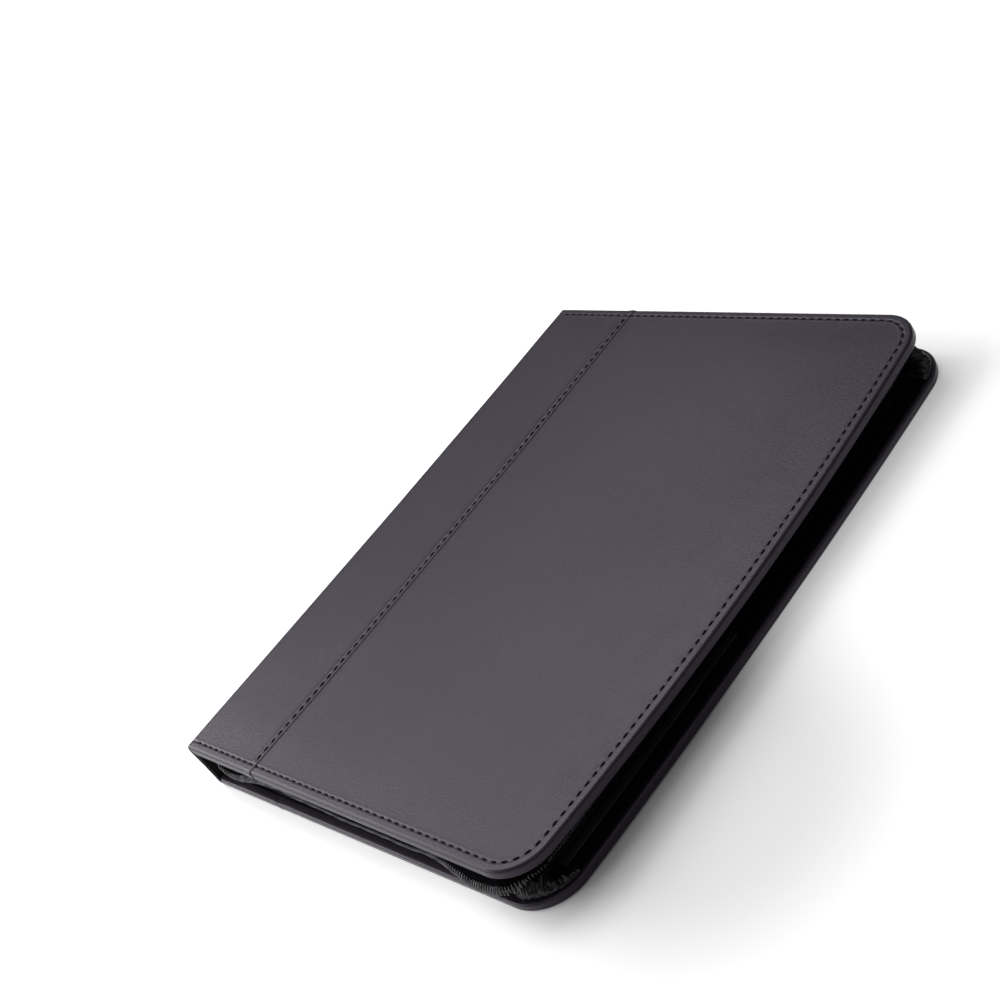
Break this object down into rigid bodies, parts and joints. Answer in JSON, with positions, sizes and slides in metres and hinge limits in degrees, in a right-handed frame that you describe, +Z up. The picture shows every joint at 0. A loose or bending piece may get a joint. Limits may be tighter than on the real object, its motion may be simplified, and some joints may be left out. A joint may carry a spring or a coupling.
{
  "type": "padfolio",
  "caption": "Zip padfolio with soft grained covers, topstitched edges, a lapped spine strip, a gathered zip, a pen loop, pockets and a writing pad.",
  "frame": {"origin": "centre of the back cover's underside, on the plane that the closed padfolio lies on", "axes": "+X from the spine to the fore edge, +Y from the tail edge to the head edge, +Z up through the closed covers"},
  "size_m": [0.2597, 0.3354, 0.0301],
  "materials": {
    "cover_leather": "fine-grained coated leather, satin",
    "pocket_leather": "fine-grained coated leather, matte",
    "lining_fabric": "plain woven lining",
    "padding_foam": "thin foam",
    "grey_board": "binder's board",
    "zip_tape": "woven zip tape",
    "zip_coil": "nylon coil",
    "zip_metal": "black enamel",
    "elastic": "ribbed elastic",
    "paper": "uncoated writing paper",
    "pad_board": "pad backing board",
    "binding_tape": "binding tape",
    "clear_film": "clear vinyl"
  },
  "bodies": {
    "back_cover": {"back_board": "grey_board", "back_foam": "padding_foam", "back_lining": "lining_fabric", "back_main_panel": "cover_leather", "back_spine_strip": "cover_leather", "back_zip_coil": "zip_coil", "back_zip_tape": "zip_tape", "pad_slot_panel": "pocket_leather", "pen_loop": "elastic", "zip_stop_head": "zip_metal", "zip_stop_tail": "zip_metal"},
    "spine": {"spine_board": "grey_board", "spine_lining": "lining_fabric", "spine_skin": "cover_leather"},
    "front_cover": {"card_pocket_lower": "pocket_leather", "card_pocket_middle": "pocket_leather", "card_pocket_upper": "pocket_leather", "document_pocket": "pocket_leather", "front_board": "grey_board", "front_foam": "padding_foam", "front_lining": "lining_fabric", "front_main_panel": "cover_leather", "front_spine_strip": "cover_leather", "front_zip_coil": "zip_coil", "front_zip_tape": "zip_tape", "id_window": "clear_film"},
    "zip_slider": {"zip_slider": "zip_metal"},
    "pull_tab": {"pull_tab": "zip_metal"},
    "writing_pad": {"pad_backer": "pad_board", "pad_binding": "binding_tape", "pad_sheets": "paper"}
  },
  "joints": [
    {"name": "spine_hinge", "type": "hinge", "parent": "back_cover", "child": "spine", "pos_m": [-0.12775, 0, 0], "axis": [0, -1, 0], "range_deg": [0, 90]},
    {"name": "front_cover_hinge", "type": "hinge", "parent": "spine", "child": "front_cover", "pos_m": [-0.12775, 0, 0.03007], "axis": [0, -1, 0], "range_deg": [0, 90.9]},
    {"name": "zip_slide", "type": "slide", "parent": "back_cover", "child": "zip_slider", "axis": [1, 0, 0], "range_m": [0, 0.192]},
    {"name": "pull_swing", "type": "hinge", "parent": "zip_slider", "child": "pull_tab", "pos_m": [-0.09245, 0.16589, 0.01315], "axis": [0, 0, 1], "range_deg": [0, 160]},
    {"name": "pad_slide", "type": "slide", "parent": "back_cover", "child": "writing_pad", "axis": [0, 1, 0], "range_m": [0, 0.0158]}
  ],
  "couplings": [
    {"joint": "spine_hinge", "follows": "front_cover_hinge", "ratio": 0.9901}
  ]
}
